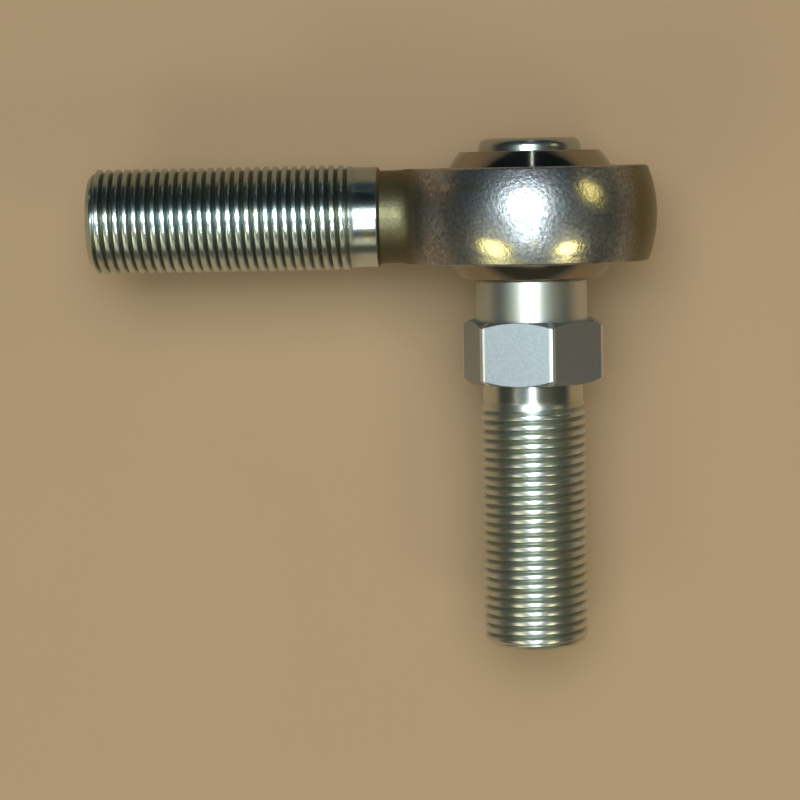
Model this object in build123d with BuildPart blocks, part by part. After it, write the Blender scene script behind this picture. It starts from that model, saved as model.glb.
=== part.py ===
from build123d import *
from math import radians, sqrt, tan
import os

# Studded male rod end, in millimetres. Origin at the centre of the ball. The shank points to -X, the
# axis of the eye is Y, and the stud points to -Y. All pieces are in their straight, untilted position.

inch = 25.4

# 5/8-18 right-hand thread, the same on the shank and on the stud
thread_pitch = inch / 18
thread_radius = 5 / 8 * inch / 2
thread_depth = 0.6134 * thread_pitch
crest_flat = thread_pitch / 8
flank_angle = 30             # degrees, each side of a groove
plain_drop = 0.34            # how far the plain stretches lie below the thread's crests
end_chamfer = 1.1
fading_grooves = 2           # the last grooves before a plain stretch get shallower

# eye and shank
eye_wall = 3.4825            # steel outside the race, at the middle of the eye
body_width = 9 / 16 * inch
head_edge = 0.5
shank_end = 2.625 * inch     # from the ball's centre to the shank's free end
shank_plain = 3.0
neck_length = 5.35           # from the round of the head to the shank's plain stretch
neck_radius = 7.0
neck_step = 0.5
neck_blend = 3.5

# race, held in the eye by its flared lips
race_wall = 1.2              # thickness at the middle of the race
lip_depth = 0.6
race_inset = 0.15            # the race's faces lie this far inside the eye's faces
stake_depth = 0.45
stake_half_width = 0.4

# ball
ball_radius = 9 / 16 * inch
ball_width = 3 / 4 * inch
ball_rim = 0.3
ball_bore_radius = 1 / 4 * inch
ball_bore_chamfer = 0.4

# stud, with distances along its axis
shoulder_radius = 8.4
shoulder_edge = 0.5
shoulder_length = 1 / 4 * inch
hex_across_flats = 3 / 4 * inch
hex_thickness = 3 / 8 * inch
hex_turn = 14.8              # degrees, the flat that faces +Z is turned this far towards the shank
hex_corner = 0.5
hex_chamfer_angle = 30
hex_chamfer_inset = 0.1      # the chamfer leaves a round end face this far inside the flats
stud_plain = 2.7
stud_thread = 37.4
tail_radius = 7.7
tail_height = 1.9
tail_round = 1.3

# clearances between pieces that turn on each other
race_gap = 0.03
ball_gap = 0.05
stud_gap = 0.02
seat_gap = 0.03

plain_radius = thread_radius - plain_drop
race_bore_radius = ball_radius + ball_gap
race_outer_radius = race_bore_radius + race_wall
race_half_width = body_width / 2 - race_inset
eye_radius = race_outer_radius + race_gap
head_radius = eye_radius + eye_wall
stud_shaft_radius = ball_bore_radius - stud_gap
shoulder_start = ball_width / 2 + seat_gap
hex_start = shoulder_start + shoulder_length
neck_start = hex_start + hex_thickness
stud_thread_start = neck_start + stud_plain


def thread_points(length):
    """Distance from the free end and radius of each corner of a thread's outline.

    The grooves are separate rings with the thread's own pitch, depth and 60 degree flanks. The last
    few get shallower, and the outline ends where the plain stretch begins.
    """
    points = [(0, thread_radius - end_chamfer), (end_chamfer, thread_radius)]
    first_groove = end_chamfer + crest_flat
    grooves = int((length - plain_drop - first_groove) / thread_pitch)
    for groove in range(grooves):
        start = first_groove + groove * thread_pitch
        end = start + thread_pitch - crest_flat
        depth = thread_depth * min(1, (grooves - groove) / fading_grooves)
        flank = depth * tan(radians(flank_angle))
        points.append((start, thread_radius))
        points.append((start + flank, thread_radius - depth))
        points.append((end - flank, thread_radius - depth))
        points.append((end, thread_radius))
    points.append((length - plain_drop, thread_radius))
    points.append((length, plain_radius))
    return points


# forged eye, neck and threaded shank
neck_meets_head = sqrt(head_radius**2 - neck_radius**2)
plain_start = neck_meets_head + neck_length
shank_thread = shank_end - plain_start - shank_plain

with BuildPart() as rod_end_body:
    with BuildSketch(Plane.XZ) as body_profile:
        with BuildLine():
            Polyline(
                (head_radius, 0),
                (-shank_end, 0),
                *[(distance - shank_end, radius) for distance, radius in thread_points(shank_thread)],
                (-plain_start, plain_radius),
                (-plain_start + neck_step, neck_radius),
                (-neck_meets_head, neck_radius),
            )
            ThreePointArc((-neck_meets_head, neck_radius), (0, head_radius), (head_radius, 0))
        make_face()
        corner = body_profile.vertices().sort_by_distance((-neck_meets_head, neck_radius))[0]
        fillet(corner, radius=neck_blend)
    revolve(axis=Axis.X)

    flat_length = plain_start - neck_step + head_radius
    flat_centre = (head_radius - plain_start + neck_step) / 2
    flat_offset = body_width / 2 + head_radius / 2
    with Locations((flat_centre, flat_offset, 0), (flat_centre, -flat_offset, 0)):
        Box(flat_length, head_radius, 3 * head_radius, mode=Mode.SUBTRACT)
    crown_edges = rod_end_body.edges().filter_by(GeomType.CIRCLE).filter_by(
        lambda edge: edge.radius > eye_radius
    )
    fillet(crown_edges, radius=head_edge)

    with BuildSketch(Plane.XY) as eye_profile:
        with BuildLine():
            Polyline(
                (0, 0),
                (eye_radius, 0),
                (eye_radius, body_width / 2 - lip_depth),
                (eye_radius + lip_depth, body_width / 2),
                (eye_radius + lip_depth, body_width),
                (0, body_width),
                close=True,
            )
        make_face()
        mirror(about=Plane.XZ)
    revolve(axis=Axis.Y, mode=Mode.SUBTRACT)

rod_end_body.part.label = "rod_end_body"


# race: spherical inside, straight outside with a flared lip at each face
lip_foot = body_width / 2 - lip_depth + race_gap * (sqrt(2) - 1)
lip_radius = race_outer_radius + race_half_width - lip_foot
race_mouth_radius = sqrt(race_bore_radius**2 - race_half_width**2)
stake_radius = race_outer_radius - stake_half_width

with BuildPart() as race:
    with BuildSketch(Plane.XY):
        with BuildLine():
            Polyline(
                (race_bore_radius, 0),
                (race_outer_radius, 0),
                (race_outer_radius, lip_foot),
                (lip_radius, race_half_width),
                (stake_radius + stake_half_width, race_half_width),
                (stake_radius, race_half_width - stake_depth),
                (stake_radius - stake_half_width, race_half_width),
                (race_mouth_radius, race_half_width),
            )
            RadiusArc((race_mouth_radius, race_half_width), (race_bore_radius, 0), race_bore_radius)
        make_face()
        mirror(about=Plane.XZ)
    revolve(axis=Axis.Y)

race.part.label = "race"


# ball: truncated sphere, bored for the stud
ball_flat_radius = sqrt(ball_radius**2 - (ball_width / 2) ** 2)

with BuildPart() as ball:
    with BuildSketch(Plane.XY) as ball_profile:
        with BuildLine():
            Polyline(
                (ball_radius, 0),
                (ball_bore_radius, 0),
                (ball_bore_radius, ball_width / 2 - ball_bore_chamfer),
                (ball_bore_radius + ball_bore_chamfer, ball_width / 2),
                (ball_flat_radius, ball_width / 2),
            )
            RadiusArc((ball_flat_radius, ball_width / 2), (ball_radius, 0), ball_radius)
        make_face()
        rim_corner = ball_profile.vertices().sort_by_distance((ball_flat_radius, ball_width / 2))[0]
        fillet(rim_corner, radius=ball_rim)
        mirror(about=Plane.XZ)
    revolve(axis=Axis.Y)

ball.part.label = "ball"


# stud: formed tail, shaft, shoulder, hexagon, plain neck and thread
tail_face = -shoulder_start - tail_height
stud_end = stud_thread_start + stud_thread
hex_corner_radius = hex_across_flats / sqrt(3)
hex_face_radius = hex_across_flats / 2 - hex_chamfer_inset
hex_chamfer = (hex_corner_radius - hex_face_radius) * tan(radians(hex_chamfer_angle))

with BuildPart() as stud:
    with BuildSketch(Plane(origin=(0, -hex_start, 0), x_dir=(1, 0, 0), z_dir=(0, -1, 0))):
        RegularPolygon(hex_across_flats / 2, 6, major_radius=False, rotation=hex_turn)
    extrude(amount=hex_thickness)
    fillet(stud.edges().filter_by(Axis.Y), radius=hex_corner)
    with BuildSketch(Plane.XY):
        with BuildLine():
            Polyline(
                (0, -hex_start),
                (hex_face_radius, -hex_start),
                (hex_corner_radius, -hex_start - hex_chamfer),
                (hex_corner_radius, -neck_start + hex_chamfer),
                (hex_face_radius, -neck_start),
                (0, -neck_start),
                close=True,
            )
        make_face()
    revolve(axis=Axis.Y, mode=Mode.INTERSECT)

    with BuildSketch(Plane.XY) as stud_profile:
        with BuildLine():
            Polyline(
                (0, -tail_face),
                (tail_radius, -tail_face),
                (tail_radius, shoulder_start),
                (stud_shaft_radius, shoulder_start),
                (stud_shaft_radius, -shoulder_start),
                (shoulder_radius, -shoulder_start),
                (shoulder_radius, -hex_start),
                (plain_radius, -hex_start),
                *[(radius, distance - stud_end) for distance, radius in reversed(thread_points(stud_thread))],
                (0, -stud_end),
                close=True,
            )
        make_face()
        tail_corner = stud_profile.vertices().sort_by_distance((tail_radius, -tail_face))[0]
        fillet(tail_corner, radius=tail_round)
        shoulder_corner = stud_profile.vertices().sort_by_distance((shoulder_radius, -shoulder_start))[0]
        fillet(shoulder_corner, radius=shoulder_edge)
    revolve(axis=Axis.Y)

stud.part.label = "stud"


os.makedirs("parts", exist_ok=True)
export_step(rod_end_body.part, "parts/rod_end_body.step")
export_step(race.part, "parts/race.step")
export_step(ball.part, "parts/ball.step")
export_step(stud.part, "parts/stud.step")
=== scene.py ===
import math

import bmesh
import bpy
from mathutils import Matrix, Vector


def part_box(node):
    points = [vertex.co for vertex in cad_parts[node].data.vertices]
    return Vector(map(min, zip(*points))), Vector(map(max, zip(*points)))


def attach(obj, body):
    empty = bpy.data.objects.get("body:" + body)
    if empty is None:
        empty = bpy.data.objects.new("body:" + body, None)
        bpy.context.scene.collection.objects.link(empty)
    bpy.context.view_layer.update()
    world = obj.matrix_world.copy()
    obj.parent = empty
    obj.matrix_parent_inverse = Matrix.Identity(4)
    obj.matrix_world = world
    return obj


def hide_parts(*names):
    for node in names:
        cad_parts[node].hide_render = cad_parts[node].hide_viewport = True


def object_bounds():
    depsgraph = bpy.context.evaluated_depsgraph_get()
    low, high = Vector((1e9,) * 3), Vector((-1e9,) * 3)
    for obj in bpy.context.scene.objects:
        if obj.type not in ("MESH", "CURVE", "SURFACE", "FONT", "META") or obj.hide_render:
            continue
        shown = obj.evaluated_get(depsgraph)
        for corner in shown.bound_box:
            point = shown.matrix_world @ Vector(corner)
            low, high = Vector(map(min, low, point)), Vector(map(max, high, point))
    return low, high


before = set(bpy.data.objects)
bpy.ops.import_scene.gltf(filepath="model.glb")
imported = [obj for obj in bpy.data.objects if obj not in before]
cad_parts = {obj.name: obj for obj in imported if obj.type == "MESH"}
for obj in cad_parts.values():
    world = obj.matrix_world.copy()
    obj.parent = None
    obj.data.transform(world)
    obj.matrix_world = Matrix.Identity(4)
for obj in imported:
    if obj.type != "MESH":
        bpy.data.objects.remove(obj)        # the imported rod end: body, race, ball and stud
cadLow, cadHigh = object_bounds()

mm = 0.001               # sizes below are in millimetres unless they say otherwise
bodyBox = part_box("rod_end_body")
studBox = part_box("stud")
print("frame loaded:", sorted(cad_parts))


# one output of a node; sums of these make maths nodes
class Socket:
    def __init__(self, nodes, socket):
        self.nodes = nodes
        self.socket = socket

    def __add__(self, other):
        return self.nodes.sum("ADD", self, other)

    def __radd__(self, other):
        return self.nodes.sum("ADD", other, self)

    def __sub__(self, other):
        return self.nodes.sum("SUBTRACT", self, other)

    def __rsub__(self, other):
        return self.nodes.sum("SUBTRACT", other, self)

    def __mul__(self, other):
        return self.nodes.sum("MULTIPLY", self, other)

    def __rmul__(self, other):
        return self.nodes.sum("MULTIPLY", other, self)

    def __truediv__(self, other):
        return self.nodes.sum("DIVIDE", self, other)

    def __pow__(self, other):
        return self.nodes.sum("POWER", self, other)


class Nodes:
    def __init__(self, tree):
        self.tree = tree
        self.tree.nodes.clear()

    # any node: its type, its settings, then the values or links of its sockets
    def node(self, kind, settings=None, sockets=None, result=0):
        made = self.tree.nodes.new(kind)
        for name, value in (settings or {}).items():
            setattr(made, name, value)
        for name, value in (sockets or {}).items():
            if isinstance(value, Socket):
                self.tree.links.new(value.socket, made.inputs[name])
            else:
                made.inputs[name].default_value = value
        if result is not None:
            return Socket(self, made.outputs[result])

    def sum(self, operation, first, second=0.0, third=0.0):
        return self.node("ShaderNodeMath", {"operation": operation}, {0: first, 1: second, 2: third})

    def fade(self, value, low, high):
        # 0 at low, 1 at high, smooth between; low may be the larger
        return self.node("ShaderNodeMapRange", {"interpolation_type": "SMOOTHSTEP"}, {
            "Value": value, "From Min": low, "From Max": high})

    def band(self, value, low, high, soft):
        return self.fade(value, low - soft, low + soft) * self.fade(value, high + soft, high - soft)

    def mix(self, share, first, second):
        return self.node("ShaderNodeMix", {"data_type": "RGBA"}, {
            0: share, 6: colour(first), 7: colour(second)}, 2)


class Finish(Nodes):
    def __init__(self, name):
        self.material = bpy.data.materials.new(name)
        self.material.use_nodes = True
        super().__init__(self.material.node_tree)
        self.place = self.node("ShaderNodeTexCoord", result="Object")
        x, y, z = [self.node("ShaderNodeSeparateXYZ", {}, {0: self.place}, axis) for axis in "XYZ"]
        self.x, self.y, self.z = x / mm, y / mm, z / mm      # millimetres from the ball's centre

    def noise(self, size, detail=3, stretch=(1, 1, 1), warp=0, seed=0):
        # size is in millimetres; stretch is how many times longer the blotches are along each axis
        squeezed = tuple(1 / longer for longer in stretch)
        spot = self.node("ShaderNodeMapping", {}, {
            "Vector": self.place, "Scale": squeezed, "Location": (seed, seed * 0.7, -seed)})
        return self.node("ShaderNodeTexNoise", {}, {
            "Vector": spot, "Scale": 1 / (size * mm), "Detail": detail, "Roughness": 0.55,
            "Distortion": warp})

    def metal(self, shade, rough, height, depth):
        # depth is how deep the bumps are, in millimetres
        normal = self.node("ShaderNodeBump", {}, {"Height": height, "Distance": depth * mm, "Strength": 1.0})
        return self.surface(shade, {"Metallic": 1.0, "Roughness": rough, "Normal": normal})

    def surface(self, shade, sockets):
        shader = self.node("ShaderNodeBsdfPrincipled", {}, {"Base Color": colour(shade), **sockets})
        self.node("ShaderNodeOutputMaterial", {}, {"Surface": shader}, None)
        return self.material


def colour(value):
    return value if isinstance(value, Socket) else (*value, 1)


def offEnd(f, along, freeEnd):
    # 0 on a thread's end face, 1 past its chamfer
    return f.fade(along, freeEnd / mm + 0.6, freeEnd / mm + 1.2)


forging = {
    "shank": (-22.9, -23.2),         # along X, where the forged skin gives way to rolled metal
    "thread": (-25.9, -27.0),
    "neck": (-15.0, -18.5),
    "crown": (12.5, 16.5),
    "groove": (7.80, 7.35),          # from the thread's axis: clear of the grooves, and inside them
    "bumpDepth": 0.05,
    "cool": (0.36, 0.38, 0.40),
    "violet": (0.31, 0.305, 0.33),
    "olive": (0.34, 0.31, 0.18),
    "yellow": (0.92, 0.88, 0.60),
    "dull": (0.17, 0.18, 0.18),
    "bloom": (0.58, 0.60, 0.62),
    # painted reflection of the brown floor and painted shade, laid on the head's ends and its neck
    "paintedEndReflection": (0.125, 0.108, 0.045),
    "threadShade": (0.62, 0.72, 0.74),
    # painted shade for the shank's side that faces +Y, standing in for the dark room it reflects
    "threadPaintedShadeSide": (0.30, 0.38, 0.39),
    # painted shade in the shank thread's grooves
    "threadPaintedGrooveShade": (0.14, 0.16, 0.14),
    # soft-edged ovals of thicker passivate, laid where warm lamps are reflected, so partly a painted
    # reflection: centre on the XY plan, half sizes, lean, strength
    "passivateReflectionPatches": (
        ((-5.6, -4.4), (3.1, 1.3), -10, 1.0),
        ((5.4, -4.7), (2.7, 1.1), 6, 0.9),
        ((8.6, 3.2), (3.0, 1.7), -38, 0.75),
        ((-10.2, 4.3), (3.0, 0.8), 0, 0.5),
        ((-5.2, -6.3), (4.6, 0.7), 0, 0.45),
        ((5.4, -6.4), (3.0, 0.7), 0, 0.45),
        ((-24.3, -2.4), (0.9, 1.3), 0, 0.6),
    ),
}


def patch(f, centre, size, lean):
    # 0 at the oval's centre, 1 on its outline
    turn = math.radians(lean)
    alongX = f.x - centre[0]
    alongY = f.y - centre[1]
    first = (alongX * math.cos(turn) + alongY * math.sin(turn)) / size[0]
    second = (alongY * math.cos(turn) - alongX * math.sin(turn)) / size[1]
    return (first * first + second * second) ** 0.5


def forgingFinish():
    f = Finish("zincPlatedForging")
    onShank = f.fade(f.x, *forging["shank"])
    onThread = f.fade(f.x, *forging["thread"])
    ends = f.fade(f.x, *forging["neck"]) + f.fade(f.x, *forging["crown"])
    broad = f.noise(9, 2, warp=0.6, seed=0.31)
    mottle = f.noise(0.55, 4, seed=0.12)
    grain = f.noise(0.14, 2, seed=0.53)
    rings = f.noise(0.13, 2, stretch=(1, 90, 90), seed=0.2)
    head = f.mix(f.fade(broad, 0.40, 0.62), forging["cool"], forging["violet"])
    head = f.mix(f.fade(f.noise(6, 3, warp=1.2, seed=0.77), 0.56, 0.70) * 0.5, head, forging["olive"])
    head = f.mix(f.fade(mottle, 0.50, 0.68) * 0.7, head, forging["dull"])
    head = f.mix(f.fade(mottle, 0.46, 0.32) * 0.6, head, forging["bloom"])
    # the head's ends and neck take a painted brown floor reflection and painted shade
    head = f.mix(ends * 0.9, head, forging["paintedEndReflection"])
    ragged = (f.noise(1.6, 2, seed=0.4) - 0.5) * 0.5
    passivateAndPaintedReflection = 0.0
    for centre, size, lean, share in forging["passivateReflectionPatches"]:
        passivateAndPaintedReflection = passivateAndPaintedReflection + f.fade(patch(f, centre, size, lean) + ragged, 1.25, 0.55) * share
    fromAxis = (f.y * f.y + f.z * f.z) ** 0.5
    groove = f.fade(fromAxis, *forging["groove"]) * onThread * offEnd(f, f.x, bodyBox[0].x)
    # the shank's +Y side is darkened: painted shade
    shank = f.mix(f.fade(f.y, 0.6, 3.5) * 0.8, forging["threadShade"], forging["threadPaintedShadeSide"])
    # painted shade darkens the thread's grooves
    shank = f.mix(groove * 0.9, shank, forging["threadPaintedGrooveShade"])
    shank = f.mix(f.fade(broad, 0.45, 0.65) * 0.3, shank, forging["olive"])
    # yellow passivate patches, partly a painted reflection of warm lamps
    shade = f.mix(passivateAndPaintedReflection, f.mix(onShank, head, shank), forging["yellow"])
    headRough = (0.29 + mottle * 0.08) * (1 - passivateAndPaintedReflection * 0.45)
    headRough = headRough + f.fade(f.x, -15.0, -18.0) * 0.16
    shankRough = 0.13 + f.noise(1.4, 3, seed=0.9) * 0.06 + onThread * 0.05 + groove * 0.12
    rough = headRough + (shankRough - headRough) * onShank
    height = mottle * (1 - onShank) + grain * 0.2 + rings * (onShank * 0.10 + onThread * 0.14)
    return f.metal(shade, rough, height, forging["bumpDepth"])


stud = {
    "threadLength": 37.4,
    "plainLength": 2.7,
    "hexLength": 9.525,
    "shoulderEnd": -9.5,             # along Y, at the ball's face
    "tail": (9.0, 9.4),
    "hexTurn": 14.8,                 # degrees, the upper flat is turned this far towards the shank
    "groove": (7.80, 7.25),          # from the stud's axis
    "bumpDepth": 0.02,
    "plated": (0.60, 0.64, 0.63),
    "stained": (0.56, 0.55, 0.40),
    "tumbledDark": (0.28, 0.32, 0.35),
    "tumbledPale": (0.40, 0.44, 0.48),
    # painted shade in the stud thread's grooves
    "studPaintedGrooveShade": (0.30, 0.33, 0.27),
    "tailShade": (0.25, 0.28, 0.28),
    # worn hexagon corners, painted brighter as a highlight along the corner fillets
    "wornEdgePaintedHighlight": (0.90, 0.94, 0.95),
}
stud["threadStart"] = studBox[0].y / mm + stud["threadLength"]
stud["hexLow"] = stud["threadStart"] + stud["plainLength"]
stud["hexHigh"] = stud["hexLow"] + stud["hexLength"]


def studFinish():
    f = Finish("zincPlatedStud")
    onHexagon = f.band(f.y, stud["hexLow"], stud["hexHigh"], 0.15)
    onThread = f.fade(f.y, stud["threadStart"] + 0.6, stud["threadStart"] - 0.6)
    onTail = f.fade(f.y, *stud["tail"])
    onShoulder = f.band(f.y, stud["hexHigh"], stud["shoulderEnd"], 0.1)
    fromAxis = (f.x * f.x + f.z * f.z) ** 0.5
    groove = f.fade(fromAxis, *stud["groove"]) * onThread * offEnd(f, f.y, studBox[0].y)
    broad = f.noise(7, 2, warp=0.8, seed=0.61)
    grain = f.noise(0.22, 3, seed=0.15)
    rings = f.noise(0.13, 2, stretch=(90, 1, 90), seed=0.42)
    tumbled = f.noise(0.5, 4, seed=0.83)
    around = f.sum("ARCTAN2", f.x, f.z) * math.degrees(1) - (30 - stud["hexTurn"])
    fromCorner = f.sum("ABSOLUTE", f.sum("WRAP", around, 30.0, -30.0))
    # the hexagon's corners: partly wear, partly a painted highlight
    wearAndPaintedHighlight = f.fade(fromCorner, 3.0, 2.0) * onHexagon
    shade = f.mix(f.fade(broad, 0.42, 0.66) * 0.4, stud["plated"], stud["stained"])
    shade = f.mix(onHexagon, shade, f.mix(tumbled, stud["tumbledDark"], stud["tumbledPale"]))
    # painted shade darkens the stud thread's grooves
    shade = f.mix(groove * 0.8, shade, stud["studPaintedGrooveShade"])
    shade = f.mix(onTail * 0.5, shade, stud["tailShade"])
    shade = f.mix(wearAndPaintedHighlight * 0.9, shade, stud["wornEdgePaintedHighlight"])
    rough = 0.17 + broad * 0.06 + onThread * 0.09 + groove * 0.12 + onTail * 0.08 + onShoulder * 0.18
    rough = rough + (0.42 + tumbled * 0.12 - rough) * onHexagon - wearAndPaintedHighlight * 0.12
    height = grain * 0.15 + tumbled * onHexagon * 0.8 + rings * (1 - onHexagon) * (0.3 + onThread * 0.2)
    return f.metal(shade, rough, height, stud["bumpDepth"])


ball = {
    # warm, darkened steel tones, partly a painted reflection of the brown floor
    "dark": (0.28, 0.255, 0.22),
    "pale": (0.38, 0.345, 0.29),
    "bumpDepth": 0.004,
}


def ballFinish():
    f = Finish("polishedBallSteel")
    lines = f.noise(0.07, 2, stretch=(150, 1, 150), seed=0.3)
    smudge = f.noise(4, 3, warp=0.5, seed=0.2)
    shade = f.mix(smudge, ball["dark"], ball["pale"])
    return f.metal(shade, 0.08 + smudge * 0.06, lines, ball["bumpDepth"])


race = {
    "steel": (0.42, 0.42, 0.43),
    "stained": (0.58, 0.56, 0.52),
    "turnedRings": 6,                # tool marks per millimetre
    "bumpDepth": 0.02,
}


def raceFinish():
    f = Finish("turnedRaceSteel")
    fromAxis = (f.x * f.x + f.z * f.z) ** 0.5
    turned = f.node("ShaderNodeTexNoise", {"noise_dimensions": "1D"}, {
        "W": fromAxis * race["turnedRings"], "Scale": 1.0, "Detail": 3.0})
    stain = f.noise(3, 3, seed=0.66)
    shade = f.mix(stain, race["steel"], race["stained"])
    return f.metal(shade, 0.3 + stain * 0.15, turned, race["bumpDepth"])


# the thread of the shank and the stud, one right-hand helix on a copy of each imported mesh
screw = {
    "pitch": 25.4 / 18,
    "radius": bodyBox[1].y / mm,     # crests of the shank's thread
    "crestShare": 0.44,              # of the pitch; rolled crests are broad
    "rootShare": 0.05,
    "flankAngle": 30,
    "softness": 0.09,                # how far crests and roots are rounded, as a share of the flank
    "crestCrown": 0.014,             # the middle of a crest stands this much above its edges
    "plainDrop": 0.34,               # the plain stretch lies this far below the crests
    "joint": 0.4,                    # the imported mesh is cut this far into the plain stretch
    "endChamfer": 1.1,
    "fadeTurns": 1.6,
    "columns": 96,
    "snap": 0.03,                    # rows nearer than this to an end are moved onto it
}
screw["flankShare"] = (1 - screw["crestShare"] - screw["rootShare"]) / 2
screw["depth"] = screw["flankShare"] * screw["pitch"] / math.tan(math.radians(screw["flankAngle"]))
screw["plainRadius"] = screw["radius"] - screw["plainDrop"]
screw["endRadius"] = screw["radius"] - screw["endChamfer"]
screw["endRings"] = (screw["endRadius"] - 0.25, screw["endRadius"] * 0.6, screw["endRadius"] * 0.2)
screw["angles"] = [2 * math.pi * column / screw["columns"] for column in range(screw["columns"])]
weldGap = 0.0005 * mm


def softClamp(value, soft):
    # held between 0 and 1 with rounded corners
    if value <= -soft:
        return 0
    if value >= 1 + soft:
        return 1
    if value < soft:
        return (value + soft) ** 2 / (4 * soft)
    if value > 1 - soft:
        return 1 - (1 + soft - value) ** 2 / (4 * soft)
    return value


def outlinePhases():
    # where along one pitch the outline has its points, from one root over the crest to the next
    crest = screw["crestShare"] / 2
    soft = screw["softness"]
    heights = (-soft, 0, soft, 1 - soft, 1, 1 + soft)
    rising = [-crest - (1 - height) * screw["flankShare"] for height in heights]
    return [*rising, -crest / 2, 0, crest / 2, *[-phase for phase in reversed(rising)]]


def threadRadius(distance, turns, length):
    # distance from the free end, and how many turns this spot lies from the start of the helix
    across = abs((turns + 0.5) % 1 - 0.5)
    height = 1 - (across - screw["crestShare"] / 2) / screw["flankShare"]
    crown = screw["crestCrown"] * min(1, 2 * across / screw["crestShare"]) ** 2
    radius = screw["radius"] - crown - screw["depth"] * (1 - softClamp(height, screw["softness"]))
    left = min(1, max(0, (length - distance) / (screw["fadeTurns"] * screw["pitch"])))
    ease = left * left * (3 - 2 * left)
    radius = screw["plainRadius"] + (radius - screw["plainRadius"]) * ease
    return min(radius, screw["endRadius"] + distance)


def addThread(mesh, spot, length):
    # spot(distance, radius, angle) gives the place; the seam joins each row to the row a turn on
    phases = outlinePhases()
    columns = screw["columns"]
    firstTurn = -2
    lastTurn = math.ceil(length / screw["pitch"]) + 1
    turns = [turn + phase for turn in range(firstTurn, lastTurn) for phase in phases]
    grid = []
    for along in turns:
        row = []
        for column, angle in enumerate(screw["angles"]):
            distance = screw["pitch"] * (along + column / columns)
            if distance < screw["snap"]:
                distance = 0
            if distance > length - screw["snap"]:
                distance = length
            turned = distance / screw["pitch"] - column / columns
            row.append(mesh.verts.new(spot(distance, threadRadius(distance, turned, length), angle)))
        grid.append(row)
    shift = len(phases)
    for row in range(len(grid) - 1):
        for column in range(columns):
            if column < columns - 1:
                corners = (grid[row][column], grid[row][column + 1],
                           grid[row + 1][column + 1], grid[row + 1][column])
            elif row + 1 + shift < len(grid):
                corners = (grid[row][column], grid[row + shift][0],
                           grid[row + 1 + shift][0], grid[row + 1][column])
            else:
                continue
            mesh.faces.new(corners)
    made = [vert for row in grid for vert in row]
    bmesh.ops.remove_doubles(mesh, verts=made, dist=weldGap)


def openRing(mesh, inward, distance):
    # the open edges that lie at one distance from the free end
    near = 0.01 * mm
    return [edge for edge in mesh.edges if edge.is_boundary
            and all(abs(inward(vert.co) - distance) < near for vert in edge.verts)]


def capEnd(mesh, ring, spot):
    # the turned end face, in rings that share the helix's columns
    columns = screw["columns"]
    rim = {vert for edge in ring for vert in edge.verts}
    outer = []
    for angle in screw["angles"]:
        corner = Vector(spot(0, screw["endRadius"], angle))
        outer.append(min(rim, key=lambda vert: (vert.co - corner).length))
    for radius in screw["endRings"]:
        inner = [mesh.verts.new(spot(0, radius, angle)) for angle in screw["angles"]]
        for column in range(columns):
            after = (column + 1) % columns
            mesh.faces.new((outer[column], outer[after], inner[after], inner[column]))
        outer = inner
    centre = mesh.verts.new(spot(0, 0, 0))
    for column in range(columns):
        mesh.faces.new((outer[column], outer[(column + 1) % columns], centre))


def keepNormals(data):
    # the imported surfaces' own normals, kept at each corner while the mesh is cut and joined
    kept = data.attributes.new("packedNormal", "FLOAT_VECTOR", "CORNER")
    for corner, normal in zip(kept.data, data.corner_normals):
        corner.vector = normal.vector


def giveNormals(data):
    # packed normals where they were kept; elsewhere large faces count for more, so flats look flat
    smoothBelow = math.cos(math.radians(40))
    kept = [Vector(corner.vector) for corner in data.attributes["packedNormal"].data]
    data.attributes.remove(data.attributes["packedNormal"])
    faces = [(face.normal.copy(), face.area) for face in data.polygons]
    around = [[] for _ in data.vertices]
    for face in data.polygons:
        for vertex in face.vertices:
            around[vertex].append(faces[face.index])
    chosen = []
    for face in data.polygons:
        own = faces[face.index][0]
        for vertex, corner in zip(face.vertices, face.loop_indices):
            if kept[corner].length > 0.5:
                chosen.append(kept[corner].normalized())
                continue
            blended = Vector()
            for normal, area in around[vertex]:
                if normal.dot(own) > smoothBelow:
                    blended += normal * area
            chosen.append(blended.normalized() if blended.length > 0 else own)
    data.normals_split_custom_set(chosen)


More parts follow.
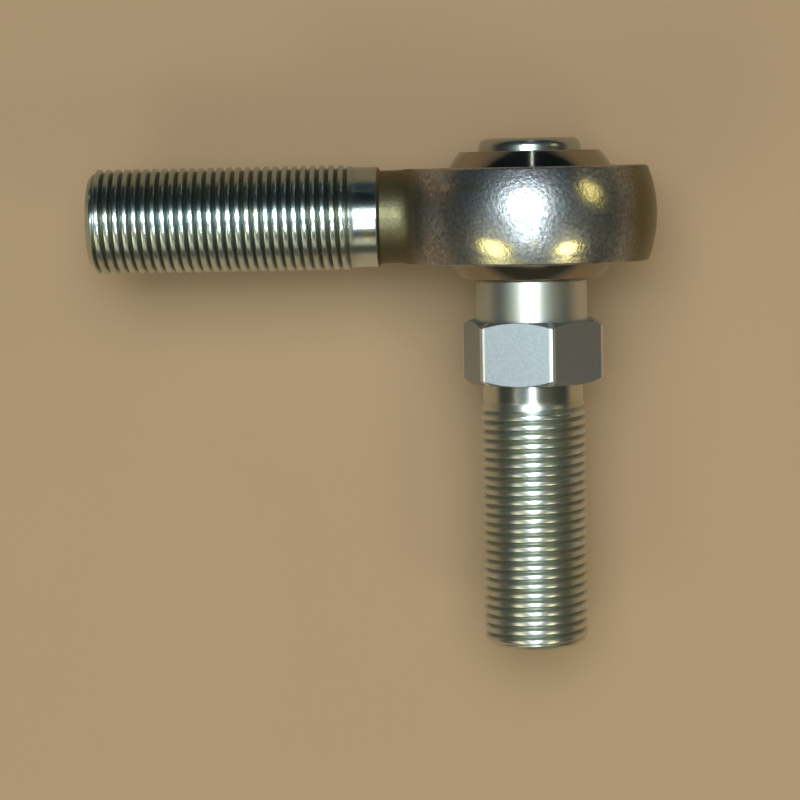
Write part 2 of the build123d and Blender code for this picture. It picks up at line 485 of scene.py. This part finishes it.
def threadedPiece(name, node, along, freeEnd, material):
    # along is the axis number; the free end lies on its negative side
    beside, over = (along + 1) % 3, (along + 2) % 3

    def spot(distance, radius, angle):
        place = [0, 0, 0]
        place[along] = freeEnd + distance * mm
        place[beside] = radius * mm * math.cos(angle)
        place[over] = radius * mm * math.sin(angle)
        return place

    def inward(place):
        return place[along] - freeEnd

    def onPlain(place):
        fromAxis = math.hypot(place[beside], place[over])
        return abs(fromAxis - screw["plainRadius"] * mm) < 0.004 * mm

    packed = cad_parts[node].data.copy()
    keepNormals(packed)
    mesh = bmesh.new()
    mesh.from_mesh(packed)
    bpy.data.meshes.remove(packed)
    bmesh.ops.remove_doubles(mesh, verts=mesh.verts, dist=weldGap)
    length = min(inward(vert.co) for vert in mesh.verts if onPlain(vert.co)) / mm
    cut = (length + screw["joint"]) * mm
    planeNormal = [0, 0, 0]
    planeNormal[along] = 1
    everything = mesh.verts[:] + mesh.edges[:] + mesh.faces[:]
    bmesh.ops.bisect_plane(mesh, geom=everything, dist=1e-7, plane_co=spot(cut / mm, 0, 0),
                           plane_no=planeNormal, clear_inner=True)
    keptRing = openRing(mesh, inward, cut)
    addThread(mesh, spot, length)
    threadRing = openRing(mesh, inward, length * mm)
    bmesh.ops.bridge_loops(mesh, edges=keptRing + threadRing)
    capEnd(mesh, openRing(mesh, inward, 0), spot)
    bmesh.ops.dissolve_degenerate(mesh, edges=mesh.edges, dist=1e-7)
    bmesh.ops.recalc_face_normals(mesh, faces=mesh.faces)
    loose = sum(1 for edge in mesh.edges if not edge.is_manifold)
    print(name, "faces", len(mesh.faces), "open edges", loose, "thread", round(length, 3))
    data = bpy.data.meshes.new(name)
    mesh.to_mesh(data)
    mesh.free()
    data.shade_smooth()
    giveNormals(data)
    data.materials.append(material)
    piece = bpy.data.objects.new(name, data)
    bpy.context.scene.collection.objects.link(piece)
    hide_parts(node)
    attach(piece, node)             # the node's body has the same name
    return piece


def repaint(node, material):
    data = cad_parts[node].data
    data.materials.clear()
    data.materials.append(material)


forged = threadedPiece("forged_body_threaded", "rod_end_body", 0, bodyBox[0].x, forgingFinish())
spindle = threadedPiece("stud_threaded", "stud", 1, studBox[0].y, studFinish())
repaint("ball", ballFinish())
repaint("race", raceFinish())
print("pieces made")


floor = {
    "size": 3.0,                                 # metres
    "colour": (0.46, 0.37, 0.26),
    "cloud": 60,                                 # size of its faint clouds
}


def makeFloor():
    half = floor["size"] / 2
    level = cadLow.z
    corners = [(-half, -half, level), (half, -half, level), (half, half, level), (-half, half, level)]
    mesh = bpy.data.meshes.new("floor")
    mesh.from_pydata(corners, [], [(0, 1, 2, 3)])
    f = Finish("paleFloor")
    paler = tuple(min(1, part * 1.06) for part in floor["colour"])
    tone = f.mix(f.noise(floor["cloud"], 3, seed=0.2), floor["colour"], paler)
    mesh.materials.append(f.surface(tone, {"Roughness": 0.8}))
    ground = bpy.data.objects.new("floor", mesh)
    bpy.context.scene.collection.objects.link(ground)


# each lamp's place, its width and height, watts, colour
lamps = {
    "key": ((-16, 64, 400), (57, 57), 1.08, (0.86, 0.99, 1.0)),
    "coolFill": ((-270, -60, 400), (260, 180), 0.028, (0.82, 0.92, 1.0)),
    "lowWarm": ((-60, -430, 300), (420, 160), 0.11, (1.0, 0.88, 0.62)),
    "slimTube": ((-90, -124, 386), (90, 12), 0.009, (0.95, 1.0, 0.80)),
    "tubeLeft": ((-222, -181, 307), (190, 75), 0.12, (1.0, 0.90, 0.52)),
    "tubeRight": ((202, -197, 311), (110, 70), 0.13, (1.0, 0.90, 0.52)),
    "tubeFar": ((332, 130, 223), (120, 60), 0.06, (1.0, 0.86, 0.42)),
    "glowLeft": ((-212, -243, 269), (200, 100), 0.05, (1.0, 0.93, 0.60)),
    "glowRight": ((190, -250, 275), (150, 100), 0.04, (1.0, 0.93, 0.60)),
    "strip": ((18, 480, 150), (8, 240), 0.035, (0.9, 1.0, 1.0)),
    "shankKey": ((-95, 66, 392), (74, 26), 0.30, (0.90, 0.99, 1.0)),
    "studKey": ((-16, -108, 400), (12, 80), 0.30, (0.90, 0.99, 1.0)),
}
roundLamps = ("key",)
glossOnly = ("key", "shankKey", "studKey")       # seen in the metal, no light on the floor


def addLight(name, lamp):
    holder = bpy.data.objects.new(name, lamp)
    bpy.context.scene.collection.objects.link(holder)
    return holder


def makeLamps():
    for name, (place, size, watts, tint) in lamps.items():
        lamp = bpy.data.lights.new(name, "AREA")
        lamp.shape = "ELLIPSE" if name in roundLamps else "RECTANGLE"
        lamp.size, lamp.size_y = size[0] * mm, size[1] * mm
        lamp.energy = watts
        lamp.color = tint
        holder = addLight(name, lamp)
        holder.location = [part * mm for part in place]
        holder.rotation_euler = (-Vector(place)).to_track_quat("-Z", "Y").to_euler()
        holder.visible_diffuse = name not in glossOnly


room = {
    "watts": 1.9,                                # per square metre
    "angle": 45,                                 # degrees, how wide the light is
    "lean": 14,                                  # degrees from straight above, towards +Y
    "colour": (1.0, 0.86, 0.68),
    "darkAir": (0.012, 0.022, 0.025),            # seen in the flanks that face +Y
    "warmAir": (0.075, 0.07, 0.05),              # seen in the flanks that face -Y
    "lowAir": (0.20, 0.18, 0.145),               # all round, just over the floor
}


def makeRoomLight():
    # the room's even light falls on the floor only, so the metal keeps its dark reflections
    lamp = bpy.data.lights.new("room", "SUN")
    lamp.energy = room["watts"]
    lamp.angle = math.radians(room["angle"])
    lamp.color = room["colour"]
    holder = addLight("room", lamp)
    holder.rotation_euler.x = -math.radians(room["lean"])
    holder.visible_glossy = False


def makeAir():
    world = bpy.data.worlds.new("studioAir")
    world.use_nodes = True
    air = Nodes(world.node_tree)
    where = air.node("ShaderNodeTexCoord", result="Generated")
    across = air.node("ShaderNodeSeparateXYZ", {}, {0: where}, "Y")
    upward = air.node("ShaderNodeSeparateXYZ", {}, {0: where}, "Z")
    sides = air.mix(air.fade(across, -0.3, 0.24), room["warmAir"], room["darkAir"])
    tone = air.mix(air.fade(upward, 0.02, 0.13), room["lowAir"], sides)
    sky = air.node("ShaderNodeBackground", {}, {"Color": tone})
    air.node("ShaderNodeOutputWorld", {}, {"Surface": sky}, None)
    bpy.context.scene.world = world


camera = {
    "place": (-4.4, 7.8, 379.3),
    "target": (-20.3, -27.9, 0),
    "upward": (0.016, 0.995, -0.094),            # which way is up in the view
    "lens": 112.5,
    "sensor": 36,
    "clip": (0.01, 10),                          # metres
}


def makeCamera():
    lens = bpy.data.cameras.new("camera")
    lens.lens = camera["lens"]
    lens.sensor_width = camera["sensor"]
    lens.clip_start, lens.clip_end = camera["clip"]
    eye = bpy.data.objects.new("camera", lens)
    bpy.context.scene.collection.objects.link(eye)
    place = Vector(camera["place"]) * mm
    back = (place - Vector(camera["target"]) * mm).normalized()
    right = Vector(camera["upward"]).cross(back).normalized()
    up = back.cross(right)
    turn = Matrix((right, up, back)).transposed()
    eye.matrix_world = Matrix.Translation(place) @ turn.to_4x4()
    bpy.context.scene.camera = eye


makeFloor()
makeLamps()
makeRoomLight()
makeAir()
makeCamera()
bpy.context.scene.view_settings.view_transform = "Standard"
print("stage made")
